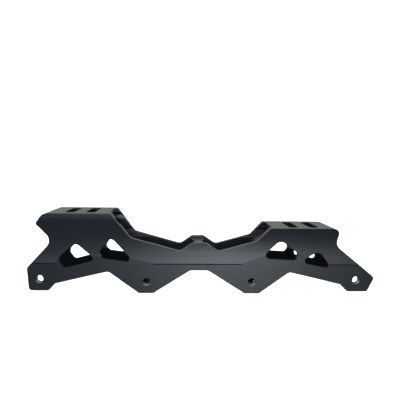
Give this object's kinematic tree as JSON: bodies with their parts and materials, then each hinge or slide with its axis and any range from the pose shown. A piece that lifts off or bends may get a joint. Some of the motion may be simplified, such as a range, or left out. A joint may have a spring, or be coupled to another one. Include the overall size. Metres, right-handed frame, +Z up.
{
  "type": "inline skate frame",
  "caption": "Milled black aluminium inline skate frame: stepped heel and toe decks with boot bolt slots over two arched side plates that carry flanged axle nuts and bushes.",
  "frame": {"origin": "half way along the frame, in its middle plane, on the ground line of the two middle feet", "axes": "+X towards the toe, +Y towards the inner side of the foot, +Z up to the boot"},
  "size_m": [0.2526, 0.0414, 0.0582],
  "materials": {
    "anodised": "black satin anodised",
    "insert": "turned, bare"
  },
  "bodies": {
    "root": {"chassis": "anodised", "axle_nut_1": "insert", "axle_nut_2": "insert", "axle_nut_3": "insert", "axle_nut_4": "insert", "axle_bush_1": "insert", "axle_bush_2": "insert", "axle_bush_3": "insert", "axle_bush_4": "insert"}
  },
  "joints": []
}
